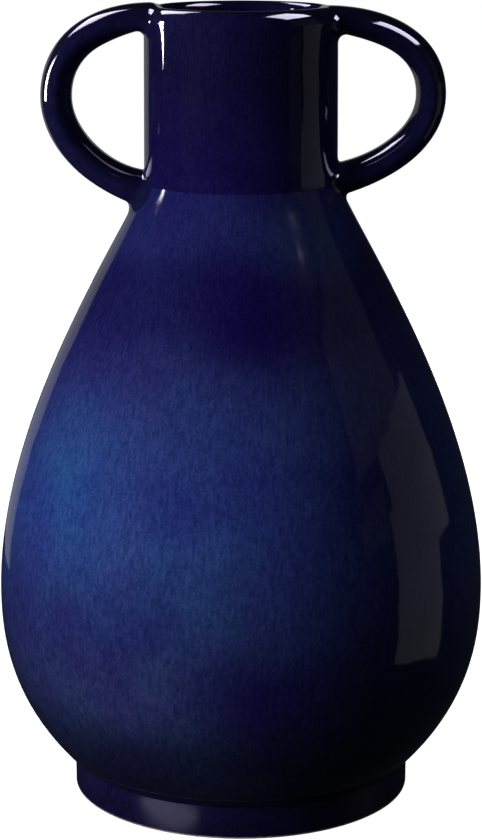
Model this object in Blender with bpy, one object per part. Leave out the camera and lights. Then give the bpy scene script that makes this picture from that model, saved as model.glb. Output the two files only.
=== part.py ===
"""Two-handled stoneware amphora: a pear-shaped body on a foot ring, with a straight neck.

The vase is built as a potter builds it. The body, the neck and the foot ring are turned
pieces, the two ear-shaped handles are rolled and bent, and a coil of soft clay is worked
round each end of each handle. The pieces are stuck together with slip, which is the thin
gap between them here.

Everything is in metres. The origin is on the axis of the vase, in the plane it stands on,
+Z is up, and the handles lie in the plane Y = 0, with the left handle on the -X side.
"""

import math

import bmesh
import bpy
import numpy as np

# ---------------------------------------------------------------------------
# Driving dimensions
# ---------------------------------------------------------------------------

SLIP_GAP = 0.0003            # layer of slip between two pieces that are stuck together

# Foot ring: a plain upright ring under the body.
FOOT_HEIGHT = 0.0185
FOOT_RADIUS = 0.0964
FOOT_RING_WIDTH = 0.013      # from the outer to the inner side of the ring
FOOT_EDGE_ROUND = 0.0008     # wiped edge where the ring meets the table

# Body: pear-shaped shell, widest low down.
BODY_HEIGHT = 0.3319         # from its underside to the seat of the neck
BODY_WALL = 0.007
BODY_FLOOR = 0.009
BELLY_RADIUS = 0.1377
BELLY_RISE = 0.0984          # widest circle above the underside of the body
BASE_OVERHANG = 0.0012       # the body's underside stands this far past the foot ring
SHOULDER_LEAN = math.radians(20.4)   # shoulder against the vertical, where it leaves the neck
SHOULDER_PULL = 0.0296       # how long the outline keeps the shoulder's direction
BELLY_PULL_UP = 0.0997       # how long it stays upright above the widest circle
BELLY_PULL_DOWN = 0.0257     # and below it
BASE_LEAN = math.radians(45.2)       # wall against the vertical, where it meets the underside
BASE_FULLNESS = 0.9113       # how far out towards the widest circle the base is pulled
FLOOR_CORNER = 0.014         # soft inner corner between the wall and the floor

# Neck: an almost straight collar with a thick rolled lip.
NECK_LENGTH = 0.0950         # from the seat on the body to the crest of the lip
NECK_RADIUS = 0.0537         # outside, at the seat
NECK_TOP_RADIUS = 0.0532     # outside, just under the lip
NECK_WALL = 0.007            # at the seat
NECK_TOP_WALL = 0.0066       # and just under the thick part of the lip
LIP_ROLL_OUT = 0.0067        # outer rounding of the lip, across
LIP_ROLL_DOWN = 0.0085       # and down the side
LIP_INNER_ROLL = 0.0042      # inner rounding of the lip
LIP_DEPTH = 0.020            # the wall thickens over this height towards the lip
SEAT_WIDTH = 0.0034          # flat ledge of the neck that stands on the body
SPIGOT_DEPTH = 0.008         # thin end of the neck that goes down into the body

# Handles: one bent strap with an oval section on each side. Its thickness is in the plane of
# the bend and its depth is along Y. Heights are below the crest of the lip or above the seat of
# the neck, and reaches are out from the side of the neck.
LEFT_HANDLE = {
    "thickness": 0.0176,
    "depth": 0.0360,
    "top_below_lip": 0.0078,     # centre of the upper end
    "top_slope": math.radians(4.0),
    "top_pull": 0.0324,
    "reach": 0.0493,             # centre of the outermost point
    "bow_below_lip": 0.0497,     # height of the outermost point
    "bow_pull_up": 0.0266,
    "bow_pull_down": 0.0251,
    "foot_above_seat": -0.0052,  # centre of the lower end
    "foot_slope": math.radians(3.6),
    "foot_pull": 0.0266,
}
RIGHT_HANDLE = {
    "thickness": 0.0168,
    "depth": 0.0360,
    "top_below_lip": 0.0088,
    "top_slope": math.radians(2.5),
    "top_pull": 0.0270,
    "reach": 0.0519,
    "bow_below_lip": 0.0482,
    "bow_pull_up": 0.0295,
    "bow_pull_down": 0.0276,
    "foot_above_seat": -0.0008,
    "foot_slope": math.radians(9.3),
    "foot_pull": 0.0238,
}
HANDLE_TOP_SINK = 0.0055     # the upper end starts this far inside the side of the neck
HANDLE_FOOT_SINK = 0.0060    # and so does the lower end, at the seat of the neck
HANDLE_ROOT_SWELL = 0.0013   # extra radius where a handle meets the vase
HANDLE_SWELL_LENGTH = 0.0255 # the swelling fades out over this length from the sunk end

# Root coils: soft clay pressed into the corner round each end of a handle.
COIL_LEG = 0.0042            # along the handle, and out over the neck
COIL_LIP = 0.0008            # thickness of a coil's wiped edges
COIL_TOP_BELOW_LIP = 0.0052  # an upper coil stops below the crest of the lip
LOWER_COIL_START = 0.0050    # a lower coil starts this far out, over the slope of the shoulder

# Fineness of the round surfaces.
ROUND_SEGMENTS = 56
SHOULDER_STEPS = 12
LOWER_STEPS = 9
INNER_SHOULDER_STEPS = 7
INNER_LOWER_STEPS = 4
ROLL_STEPS = 5
INNER_ROLL_STEPS = 3
HANDLE_STEPS = 11            # for each half of a handle
HANDLE_SIDES = 20            # round the section of a handle or a coil
COIL_STEPS = 4

GLAZE_ROUGHNESS = 0.12
WELD_DISTANCE = 1e-6

# ---------------------------------------------------------------------------
# Heights that follow from the dimensions
# ---------------------------------------------------------------------------

BASE_Z = FOOT_HEIGHT + SLIP_GAP
SEAT_Z = BASE_Z + BODY_HEIGHT
NECK_Z = SEAT_Z + SLIP_GAP
LIP_Z = NECK_Z + NECK_LENGTH


# ---------------------------------------------------------------------------
# Outlines: arrays of (radius, height) points
# ---------------------------------------------------------------------------

def bezier(start, start_pull, end_pull, end, steps):
    """Points on a cubic curve from start to end, pulled towards the two middle points."""
    t = np.linspace(0.0, 1.0, steps + 1)[:, None]
    points = (np.asarray(p, dtype=float) for p in (start, start_pull, end_pull, end))
    a, b, c, d = points
    return (1 - t) ** 3 * a + 3 * (1 - t) ** 2 * t * b + 3 * (1 - t) * t ** 2 * c + t ** 3 * d


def quarter_arc(centre, radii, start_angle, end_angle, steps):
    """Points on an elliptical arc about centre, with both ends."""
    angle = np.linspace(start_angle, end_angle, steps + 1)
    return np.column_stack((centre[0] + radii[0] * np.cos(angle),
                            centre[1] + radii[1] * np.sin(angle)))


def direction(lean):
    """Unit vector that leans outwards from straight up by the angle lean."""
    return np.array((math.sin(lean), math.cos(lean)))


def outline_normals(points):
    """Unit normals of an outline's straight runs, to the left of the way it runs."""
    run = np.diff(points, axis=0)
    run /= np.linalg.norm(run, axis=1)[:, None]
    return np.column_stack((-run[:, 1], run[:, 0]))


def offset_outline(points, distance):
    """The outline moved sideways by distance, to the left of its run, with mitred corners."""
    normals = outline_normals(points)
    before = np.vstack((normals[:1], normals))
    after = np.vstack((normals, normals[-1:]))
    mitre = (before + after) / (1.0 + np.sum(before * after, axis=1))[:, None]
    return points + distance * mitre


def body_outside(shoulder_steps, lower_steps):
    """The body's outer outline, from the seat of the neck down to its underside."""
    seat = np.array((NECK_RADIUS, SEAT_Z))
    belly = np.array((BELLY_RADIUS, BASE_Z + BELLY_RISE))
    base = np.array((FOOT_RADIUS + BASE_OVERHANG, BASE_Z))
    up = np.array((0.0, 1.0))
    leaving = np.array((math.sin(SHOULDER_LEAN), -math.cos(SHOULDER_LEAN)))
    shoulder = bezier(seat, seat + SHOULDER_PULL * leaving, belly + BELLY_PULL_UP * up,
                      belly, shoulder_steps)
    base_pull = BASE_FULLNESS * (belly[0] - base[0]) / math.sin(BASE_LEAN)
    lower = bezier(belly, belly - BELLY_PULL_DOWN * up, base + base_pull * direction(BASE_LEAN),
                   base, lower_steps)
    return np.vstack((shoulder, lower[1:]))


def neck_outside():
    """The neck's outer outline, from the crest of the lip down to the seat."""
    roll_centre = (NECK_TOP_RADIUS - LIP_ROLL_OUT, LIP_Z - LIP_ROLL_DOWN)
    roll = quarter_arc(roll_centre, (LIP_ROLL_OUT, LIP_ROLL_DOWN), math.pi / 2, 0.0, ROLL_STEPS)
    return np.vstack((roll, (NECK_RADIUS, NECK_Z)))


def neck_side_radius(height):
    """Outer radius of the neck's straight side at a height."""
    side = neck_outside()[-2:][::-1]
    return np.interp(height, side[:, 1], side[:, 0])


def spigot_radius():
    """Outer radius of the thin end of the neck that goes down into the body."""
    return NECK_RADIUS - SEAT_WIDTH


# ---------------------------------------------------------------------------
# Blender helpers
# ---------------------------------------------------------------------------

def clear_scene():
    for thing in list(bpy.data.objects):
        bpy.data.objects.remove(thing, do_unlink=True)


def glaze(name, colour):
    """A glossy glaze in one colour, given as linear red, green and blue."""
    material = bpy.data.materials.new(name)
    material.use_nodes = True
    shader = material.node_tree.nodes["Principled BSDF"]
    shader.inputs["Base Color"].default_value = (*colour, 1.0)
    shader.inputs["Roughness"].default_value = GLAZE_ROUGHNESS
    shader.inputs["Metallic"].default_value = 0.0
    material.diffuse_color = (*colour, 1.0)
    return material


def add_object(name, mesh, parent=None, material=None):
    thing = bpy.data.objects.new(name, mesh)
    bpy.context.scene.collection.objects.link(thing)
    thing.parent = parent
    if material is not None:
        mesh.materials.append(material)
    return thing


def finish_mesh(name, shape):
    """Weld, turn the faces outwards and shade the round surfaces smooth."""
    bmesh.ops.remove_doubles(shape, verts=shape.verts, dist=WELD_DISTANCE)
    bmesh.ops.recalc_face_normals(shape, faces=shape.faces)
    mesh = bpy.data.meshes.new(name)
    shape.to_mesh(mesh)
    shape.free()
    mesh.shade_smooth()
    mesh.set_sharp_from_angle(angle=math.radians(35))
    return mesh


def turned(name, outline, closed):
    """A mesh turned about the Z axis from an outline, closed or with both ends on the axis."""
    shape = bmesh.new()
    corners = [shape.verts.new((radius, 0.0, height)) for radius, height in outline]
    edges = [shape.edges.new(pair) for pair in zip(corners, corners[1:])]
    if closed:
        edges.append(shape.edges.new((corners[-1], corners[0])))
    bmesh.ops.spin(shape, geom=corners + edges, cent=(0, 0, 0), axis=(0, 0, 1),
                   angle=2 * math.pi, steps=ROUND_SEGMENTS, use_merge=True)
    return finish_mesh(name, shape)


def strap(name, path, half_thickness, half_depth, wrap_radius=None):
    """A bar with an oval section along a path of (x, z) points in the plane Y = 0.

    half_thickness is measured across the path in that plane and half_depth along Y, at each
    point of the path. With a wrap radius the bar leans back with the round of a pot of that
    radius, so that its flanks stay as close to the pot as its middle.
    """
    way = np.gradient(path, axis=0)
    way /= np.linalg.norm(way, axis=1)[:, None]
    turn = np.linspace(0.0, 2 * math.pi, HANDLE_SIDES, endpoint=False)
    across = half_thickness[:, None] * np.cos(turn)
    x = path[:, :1] - way[:, 1:] * across
    y = half_depth[:, None] * np.sin(turn)
    z = path[:, 1:] + way[:, :1] * across
    if wrap_radius is not None:
        x = x - np.sign(x) * (wrap_radius - np.sqrt(wrap_radius ** 2 - y ** 2))
    shape = bmesh.new()
    rings = [[shape.verts.new(corner) for corner in ring] for ring in np.stack((x, y, z), axis=-1)]
    for ring, following in zip(rings, rings[1:]):
        for k in range(HANDLE_SIDES):
            shape.faces.new((ring[k - 1], ring[k], following[k], following[k - 1]))
    for ring, (end_x, end_z) in ((rings[0], path[0]), (rings[-1], path[-1])):
        tip = shape.verts.new((end_x, 0.0, end_z))
        for k in range(HANDLE_SIDES):
            shape.faces.new((ring[k - 1], ring[k], tip))
    bmesh.ops.triangulate(shape, faces=shape.faces)
    return finish_mesh(name, shape)


def cutter(name, mesh, parent):
    """A shape that only cuts others: it is shown as wire and isn't part of the vase."""
    tool = add_object(name, mesh, parent)
    tool.display_type = "WIRE"
    tool.hide_render = True
    return tool


def cut(piece, tool):
    """Take the tool's shape away from the piece."""
    step = piece.modifiers.new("cut_by_" + tool.name, "BOOLEAN")
    step.operation = "DIFFERENCE"
    step.solver = "EXACT"
    step.object = tool


# ---------------------------------------------------------------------------
# Turned pieces
# ---------------------------------------------------------------------------

def make_foot_ring(parent):
    """An upright ring with wiped edges where it meets the table."""
    inner = FOOT_RADIUS - FOOT_RING_WIDTH
    edge = FOOT_EDGE_ROUND
    outer_edge = quarter_arc((FOOT_RADIUS - edge, edge), (edge, edge), 0.0, -math.pi / 2, 2)
    inner_edge = quarter_arc((inner + edge, edge), (edge, edge), -math.pi / 2, -math.pi, 2)
    outline = np.vstack(((inner, FOOT_HEIGHT), (FOOT_RADIUS, FOOT_HEIGHT), outer_edge, inner_edge))
    return add_object("foot_ring", turned("foot_ring", outline, closed=True), parent,
                      glaze("foot_glaze", (0.010, 0.014, 0.060)))


def body_inside():
    """The body's inner outline, from the middle of the floor up to the socket for the neck."""
    floor_z = BASE_Z + BODY_FLOOR
    socket_bottom = SEAT_Z - SPIGOT_DEPTH - SLIP_GAP
    outside = body_outside(INNER_SHOULDER_STEPS, INNER_LOWER_STEPS)
    wall = offset_outline(outside, -BODY_WALL)[::-1]
    corner_z = floor_z + FLOOR_CORNER
    heights = (floor_z, corner_z, socket_bottom)
    floor_radius, corner_radius, foot_of_socket = np.interp(heights, wall[:, 1], wall[:, 0])
    corner_foot = np.array((floor_radius, floor_z))
    floor_edge = corner_foot - (FLOOR_CORNER, 0.0)
    corner_top = (corner_radius, corner_z)
    corner = bezier(floor_edge, corner_foot, corner_foot, corner_top, INNER_ROLL_STEPS)
    side = wall[(wall[:, 1] > corner_z) & (wall[:, 1] < socket_bottom)]
    socket_foot = (foot_of_socket, socket_bottom)
    socket_radius = spigot_radius() + SLIP_GAP
    socket = ((socket_radius, socket_bottom), (socket_radius, SEAT_Z))
    return np.vstack(((0.0, floor_z), corner, side, socket_foot, socket))


def make_body(parent):
    """The hollow pear-shaped body, with a floor and a socket that takes the neck."""
    outline = np.vstack((body_inside(), body_outside(SHOULDER_STEPS, LOWER_STEPS), (0.0, BASE_Z)))
    return add_object("body", turned("body", outline, closed=False), parent,
                      glaze("body_glaze", (0.011, 0.017, 0.080)))


def make_neck(parent):
    """The collar: rolled lip, straight wall, flat ledge and the spigot inside the body."""
    bore = NECK_RADIUS - NECK_WALL
    lip_bore = NECK_TOP_RADIUS - LIP_ROLL_OUT - LIP_INNER_ROLL
    spigot_z = SEAT_Z - SPIGOT_DEPTH
    spigot = ((spigot_radius(), NECK_Z), (spigot_radius(), spigot_z), (bore, spigot_z))
    lip_foot_z = LIP_Z - LIP_DEPTH
    lip_foot = np.array((neck_side_radius(lip_foot_z) - NECK_TOP_WALL, lip_foot_z))
    lip_start = np.array((lip_bore, LIP_Z - LIP_INNER_ROLL))
    half_way = np.array((0.0, LIP_DEPTH / 3))
    thickening = bezier(lip_foot, lip_foot + half_way, lip_start - half_way, lip_start,
                        INNER_ROLL_STEPS)
    inner_centre = (lip_bore + LIP_INNER_ROLL, LIP_Z - LIP_INNER_ROLL)
    inner_roll = quarter_arc(inner_centre, (LIP_INNER_ROLL, LIP_INNER_ROLL), math.pi,
                             math.pi / 2, INNER_ROLL_STEPS)
    outline = np.vstack((neck_outside(), spigot, thickening, inner_roll[1:-1]))
    return add_object("neck", turned("neck", outline, closed=True), parent,
                      glaze("neck_glaze", (0.009, 0.010, 0.050)))


# ---------------------------------------------------------------------------
# Handles and their root coils
# ---------------------------------------------------------------------------

def handle_path(sizes, side):
    """Centre line of a handle from its upper to its lower end, as (x, z) points.

    side is -1 for the left handle and +1 for the right one.
    """
    top = np.array((NECK_TOP_RADIUS - HANDLE_TOP_SINK, LIP_Z - sizes["top_below_lip"]))
    bow = np.array((NECK_TOP_RADIUS + sizes["reach"], LIP_Z - sizes["bow_below_lip"]))
    foot = np.array((NECK_RADIUS - HANDLE_FOOT_SINK, SEAT_Z + sizes["foot_above_seat"]))
    up = np.array((0.0, 1.0))
    top_way = np.array((math.cos(sizes["top_slope"]), math.sin(sizes["top_slope"])))
    foot_way = np.array((math.cos(sizes["foot_slope"]), math.sin(sizes["foot_slope"])))
    upper = bezier(top, top + sizes["top_pull"] * top_way, bow + sizes["bow_pull_up"] * up,
                   bow, HANDLE_STEPS)
    lower = bezier(bow, bow - sizes["bow_pull_down"] * up, foot + sizes["foot_pull"] * foot_way,
                   foot, HANDLE_STEPS)
    return np.vstack((upper, lower[1:])) * (side, 1.0)


def lengths_along(path):
    """Length of the path up to each of its points."""
    return np.concatenate(((0.0,), np.cumsum(np.linalg.norm(np.diff(path, axis=0), axis=1))))


def root_swell(path):
    """Extra radius at each point: nothing along the bow and growing towards both ends."""
    along = lengths_along(path)
    to_end = np.minimum(along, along[-1] - along)
    near = np.clip(1.0 - to_end / HANDLE_SWELL_LENGTH, 0.0, 1.0)
    return HANDLE_ROOT_SWELL * near ** 2


def vase_skin():
    """The outside of the body and the neck as one solid, larger by the slip gap.

    It cuts the ends of the handles and the backs of the coils. Above the rolled lip it goes
    straight up, so that a handle may stand a little higher than the lip.
    """
    shoulder = body_outside(SHOULDER_STEPS, LOWER_STEPS)[:SHOULDER_STEPS]
    half_roll = ROLL_STEPS // 2
    skin = offset_outline(np.vstack((neck_outside()[half_roll:-1], shoulder)), SLIP_GAP)
    top_z = LIP_Z + LEFT_HANDLE["thickness"] + RIGHT_HANDLE["thickness"]
    outline = np.vstack(((0.0, top_z), (skin[0, 0], top_z), skin, (0.0, skin[-1, 1])))
    return turned("vase_skin", outline, closed=False)


def coil_line(path, swell, from_top):
    """Centre line of the flared collar round one end of a handle.

    The collar runs from the sunk end to a leg's length past the place where the handle
    leaves the vase, and its outside is hollow like a fillet. Gives the line, how far the
    collar stands out from the plain strap at each point, and the radius it is wrapped to.
    """
    if from_top:
        wrap_radius = NECK_TOP_RADIUS
    else:
        path, swell = path[::-1], swell[::-1]
        wrap_radius = NECK_RADIUS + LOWER_COIL_START
    along = lengths_along(path)
    to_bow = slice(0, HANDLE_STEPS + 1)
    start = np.interp(wrap_radius, np.abs(path[to_bow, 0]), along[to_bow])
    flare = np.linspace(0.0, 1.0, COIL_STEPS + 1)
    rise = 1.0 - np.sqrt(1.0 - (1.0 - flare) ** 2)
    stations = np.concatenate(((along[0],), start + COIL_LIP + COIL_LEG * flare))
    line = np.column_stack((np.interp(stations, along, path[:, 0]),
                            np.interp(stations, along, path[:, 1])))
    stand_out = SLIP_GAP + COIL_LIP + COIL_LEG * np.concatenate(((1.0,), rise))
    return line, np.interp(stations, along, swell) + stand_out, wrap_radius


def make_handle(name, sizes, side, skin, parent):
    """One handle, with both ends cut to the outside of the vase, and its two root coils."""
    path = handle_path(sizes, side)
    swell = root_swell(path)
    half_thickness, half_depth = sizes["thickness"] / 2, sizes["depth"] / 2
    handle = add_object(name, strap(name, path, half_thickness + swell, half_depth + swell),
                        parent, glaze(name + "_glaze", (0.009, 0.011, 0.055)))
    cut(handle, skin)
    space = swell + SLIP_GAP
    room = cutter(name + "_room", strap(name + "_room", path, half_thickness + space,
                                        half_depth + space), parent)
    for end, from_top in (("upper", True), ("lower", False)):
        coil_name = name + "_" + end + "_coil"
        line, extra, wrap_radius = coil_line(path, swell, from_top)
        collar = strap(coil_name, line, half_thickness + extra, half_depth + extra, wrap_radius)
        coil = add_object(coil_name, collar, parent,
                          glaze(coil_name + "_glaze", (0.009, 0.011, 0.055)))
        if from_top:
            cut(coil, lid_cutter(coil_name + "_trim", side, parent))
        cut(coil, skin)
        cut(coil, room)


def lid_cutter(name, side, parent):
    """A block over one upper coil, which keeps the coil below the crest of the lip."""
    shape = bmesh.new()
    size = 2 * NECK_RADIUS
    bmesh.ops.create_cube(shape, size=size)
    block = cutter(name, finish_mesh(name, shape), parent)
    block.location = (side * size / 2, 0.0, LIP_Z - COIL_TOP_BELOW_LIP + size / 2)
    return block


def main():
    clear_scene()
    vase = bpy.data.objects.new("amphora", None)
    bpy.context.scene.collection.objects.link(vase)
    make_foot_ring(vase)
    make_body(vase)
    make_neck(vase)
    skin = cutter("vase_skin", vase_skin(), vase)
    make_handle("handle_left", LEFT_HANDLE, -1, skin, vase)
    make_handle("handle_right", RIGHT_HANDLE, 1, skin, vase)


main()
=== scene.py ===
# %% [markdown]
# # A cobalt-glazed amphora
#
# This lesson dresses a stoneware vase that already exists as a plain, exact model. The plain
# model is loaded first and never moved: it is the frame that every new surface is fitted to.
# The new surfaces are worked out with numpy, as functions of two parameters, because a turned
# pot and a bent roll of clay are both easiest to describe that way. The glaze comes last.

# %% Load the fixed frame
import math

import bpy
import numpy as np
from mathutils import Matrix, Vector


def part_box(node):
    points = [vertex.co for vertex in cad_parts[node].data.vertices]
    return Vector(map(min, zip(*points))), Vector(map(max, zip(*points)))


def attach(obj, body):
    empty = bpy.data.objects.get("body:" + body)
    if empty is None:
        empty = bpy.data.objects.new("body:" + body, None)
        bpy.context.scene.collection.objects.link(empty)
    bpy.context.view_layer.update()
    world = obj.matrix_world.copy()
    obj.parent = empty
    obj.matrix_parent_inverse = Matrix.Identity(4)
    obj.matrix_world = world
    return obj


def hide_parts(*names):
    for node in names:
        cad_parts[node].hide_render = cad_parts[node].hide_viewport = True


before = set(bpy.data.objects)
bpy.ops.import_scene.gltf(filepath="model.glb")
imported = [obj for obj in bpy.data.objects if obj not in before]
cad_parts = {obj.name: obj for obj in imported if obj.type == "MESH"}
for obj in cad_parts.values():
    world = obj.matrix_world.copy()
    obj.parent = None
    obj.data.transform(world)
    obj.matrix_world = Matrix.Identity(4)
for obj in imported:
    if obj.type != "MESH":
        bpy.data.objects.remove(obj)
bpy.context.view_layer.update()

print("frame nodes:", sorted(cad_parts))

# %% [markdown]
# ## Sizes
#
# A potter would measure the pot with callipers: the foot, the belly, the seat of the neck and
# the lip. Here the same readings are taken from the frame, so the surfaces follow the model if
# it changes. Only the curves between those readings need values of their own.

# %% Read the main sizes from the frame
body_low, body_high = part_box("body")
neck_low, neck_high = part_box("neck")
BELLY_RADIUS = body_high.x
BASE_Z = body_low.z
SEAT_Z = body_high.z
NECK_RADIUS = neck_high.x
LIP_Z = neck_high.z
SPIGOT_Z = neck_low.z
FOOT_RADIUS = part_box("foot_ring")[1].x
print(f"height {LIP_Z * 1000:.1f} mm to the lip, belly radius {BELLY_RADIUS * 1000:.1f} mm")

# %% Sizes of the curves between them
WALL = 0.007                 # thickness of the turned walls
FLOOR = 0.009                # and of the floor
BELLY_RISE = 0.0984          # widest circle above the underside of the body
BASE_OVERHANG = 0.0012       # the body stands this far past the foot ring
SHOULDER_LEAN = math.radians(20.4)   # shoulder against the vertical, under the neck
SHOULDER_PULL = 0.0296       # how long the outline keeps the shoulder's direction
BELLY_PULL_UP = 0.0997       # how long it stays upright above the widest circle
BELLY_PULL_DOWN = 0.0257     # and below it
BASE_LEAN = math.radians(45.2)       # wall against the vertical, over the foot
BASE_FULLNESS = 0.9113       # how far out towards the widest circle the base is pulled
BASE_ROUND = 0.0007          # wiped corner of the body over the foot
FLOOR_CORNER = 0.014         # soft inner corner between the wall and the floor

NECK_TOP_RADIUS = 0.0532     # just under the lip
NECK_TOP_WALL = 0.0066       # wall of the neck there
LIP_ROLL_OUT = 0.0067        # outer rounding of the lip, across
LIP_ROLL_DOWN = 0.0085       # and down the side
LIP_INNER_ROLL = 0.0042      # inner rounding of the lip
LIP_DEPTH = 0.020            # the wall thickens over this height towards the lip
JOINT_RUN = 0.0011           # half of the little fillet where the neck meets the shoulder
JOINT_TUCK = 0.0012          # the end of the fillet turns in by this much under the skin
SPIGOT_TAPER = 0.002         # and the spigot narrows by this much on its way down

FOOT_WIDTH = 0.013           # from the outer to the inner side of the ring
FOOT_EDGE_ROUND = 0.0005
FOOT_OVERLAP = 0.001         # the ring runs this far up into the body

TURNED_SEGMENTS = 256
print(f"walls of {WALL * 1000:.0f} mm, floor of {FLOOR * 1000:.0f} mm")

# %% [markdown]
# ## Curves
#
# Every outline is made of three kinds of stretch: straight lines, parts of ellipses and cubic
# curves. A cubic curve leaves its start towards one pulling point and reaches its end from
# another, which is how a hand draws a shoulder.


# %% Curve helpers
def bezier(start, start_pull, end_pull, end, steps):
    """Points of a cubic curve: the four corners weighted by the cubic Bernstein polynomials."""
    t = np.linspace(0.0, 1.0, steps + 1)[:, None]
    a, b, c, d = (np.asarray(p, dtype=float) for p in (start, start_pull, end_pull, end))
    return (1 - t) ** 3 * a + 3 * (1 - t) ** 2 * t * b + 3 * (1 - t) * t ** 2 * c + t ** 3 * d


def ellipse_arc(centre, radii, start, end, steps):
    """Points of an ellipse: the centre plus each radius times the cosine or sine of an angle."""
    angle = np.radians(np.linspace(start, end, steps + 1))
    return np.column_stack((centre[0] + radii[0] * np.cos(angle),
                            centre[1] + radii[1] * np.sin(angle)))


def straight(start, end, steps):
    """Evenly spaced points of a straight line, with both ends."""
    return np.linspace(start, end, steps + 1)


def lengths_along(points):
    """Distance travelled along a line of points up to each of them."""
    return np.concatenate(((0.0,), np.cumsum(np.linalg.norm(np.diff(points, axis=0), axis=1))))


def joined(*stretches):
    """Stretches put end to end, with the points they share kept once."""
    points = np.vstack(stretches)
    fresh = np.concatenate(((True,), np.linalg.norm(np.diff(points, axis=0), axis=1) > 1e-7))
    return points[fresh]


def sideways(points, distance):
    """A line of points moved to the left of the way it runs, by the normal of its tangent."""
    way = np.gradient(points, axis=0)
    way /= np.linalg.norm(way, axis=1)[:, None]
    return points + distance * np.column_stack((-way[:, 1], way[:, 0]))


quarter = ellipse_arc((0.0, 0.0), (1.0, 1.0), 0, 90, 90)
print(f"a quarter of a circle of radius 1 measures {lengths_along(quarter)[-1]:.4f}")


# %% [markdown]
# ## The outline of the vase
#
# The body, neck and foot of a thrown pot are all turned, so one outline in the plane of radius
# and height gives the whole outside. It runs over the lip, down the neck, through a small
# fillet of glaze at the joint, and over the shoulder and belly to the foot.


# %% Shoulder and belly
def shoulder_curve(steps):
    """Cubic curve from the seat of the neck down to the widest circle."""
    seat = np.array((NECK_RADIUS, SEAT_Z))
    belly = np.array((BELLY_RADIUS, BASE_Z + BELLY_RISE))
    leaving = np.array((math.sin(SHOULDER_LEAN), -math.cos(SHOULDER_LEAN)))
    return bezier(seat, seat + SHOULDER_PULL * leaving, belly + (0.0, BELLY_PULL_UP), belly, steps)


def lower_curve(steps):
    """Cubic curve from the widest circle in to the edge above the foot ring."""
    belly = np.array((BELLY_RADIUS, BASE_Z + BELLY_RISE))
    base = np.array((FOOT_RADIUS + BASE_OVERHANG, BASE_Z))
    pull = BASE_FULLNESS * (belly[0] - base[0]) / math.sin(BASE_LEAN)
    rising = np.array((math.sin(BASE_LEAN), math.cos(BASE_LEAN)))
    return bezier(belly, belly - (0.0, BELLY_PULL_DOWN), base + pull * rising, base, steps)


print(f"shoulder {lengths_along(shoulder_curve(110))[-1] * 1000:.0f} mm along the clay, "
      f"belly to foot {lengths_along(lower_curve(70))[-1] * 1000:.0f} mm")


# %% Lip, neck and the joint under it
def lip_crest():
    """The highest point of the lip."""
    return np.array((NECK_TOP_RADIUS - LIP_ROLL_OUT, LIP_Z))


def neck_side_radius(height):
    """Outer radius of the neck, which tapers evenly between the lip and the joint."""
    return np.interp(height, (SEAT_Z, LIP_Z - LIP_ROLL_DOWN), (NECK_RADIUS, NECK_TOP_RADIUS))


def joint_fillet(steps):
    """Short curve that turns from the side of the neck into the shoulder."""
    top_z = SEAT_Z + JOINT_RUN
    top = np.array((neck_side_radius(top_z), top_z))
    corner = np.array((NECK_RADIUS, SEAT_Z))
    shoulder = shoulder_curve(400)
    along = lengths_along(shoulder)
    foot = np.array([np.interp(JOINT_RUN, along, shoulder[:, k]) for k in (0, 1)])
    return bezier(top, (top + 2 * corner) / 3, (foot + 2 * corner) / 3, foot, steps)


def outer_neck():
    """Outline from the crest of the lip down to the end of the joint fillet."""
    crest = lip_crest()
    roll = ellipse_arc((crest[0], LIP_Z - LIP_ROLL_DOWN), (LIP_ROLL_OUT, LIP_ROLL_DOWN), 90, 0, 28)
    fillet = joint_fillet(10)
    return joined(roll, straight(roll[-1], fillet[0], 44), fillet)


outside = joined(outer_neck(), shoulder_curve(110)[2:], lower_curve(70))
print(f"outline of {len(outside)} points, {lengths_along(outside)[-1] * 1000:.0f} mm long")

# %% [markdown]
# ## Turning an outline into a surface
#
# Blender has a Screw modifier and a Spin tool for turned work. Here the surface is worked out
# directly: a grid of points with the outline down its rows and the turn along its columns.
# That keeps the seam closed, puts a single point on the axis, and needs no merging afterwards.


# %% Faces of a grid
def grid_faces(rows, columns, close_rows):
    """Corner numbers of the quads of a grid whose last column joins its first."""
    row = np.arange(rows if close_rows else rows - 1)[:, None]
    column = np.arange(columns)[None, :]
    below, beside = (row + 1) % rows, (column + 1) % columns
    corners = (row * columns + column, row * columns + beside,
               below * columns + beside, below * columns + column)
    return np.stack(np.broadcast_arrays(*corners), axis=-1).reshape(-1, 4)


def fan_faces(first, columns, tip):
    """Corner numbers of the triangles between one ring of the grid and a single point."""
    column = np.arange(columns)
    beside = (column + 1) % columns
    return np.column_stack((first + column, first + beside, np.full(columns, tip)))


print("quads of a 3 by 4 grid closed both ways:", len(grid_faces(3, 4, True)))


# %% Grid to mesh
def enclosed_volume(points, triangles):
    """Sum over the faces of the volume they make with the origin; positive if they face out."""
    a, b, c = (points[triangles[:, k]] for k in range(3))
    return float(np.einsum("ij,ij->i", a, np.cross(b, c)).sum() / 6.0)


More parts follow.
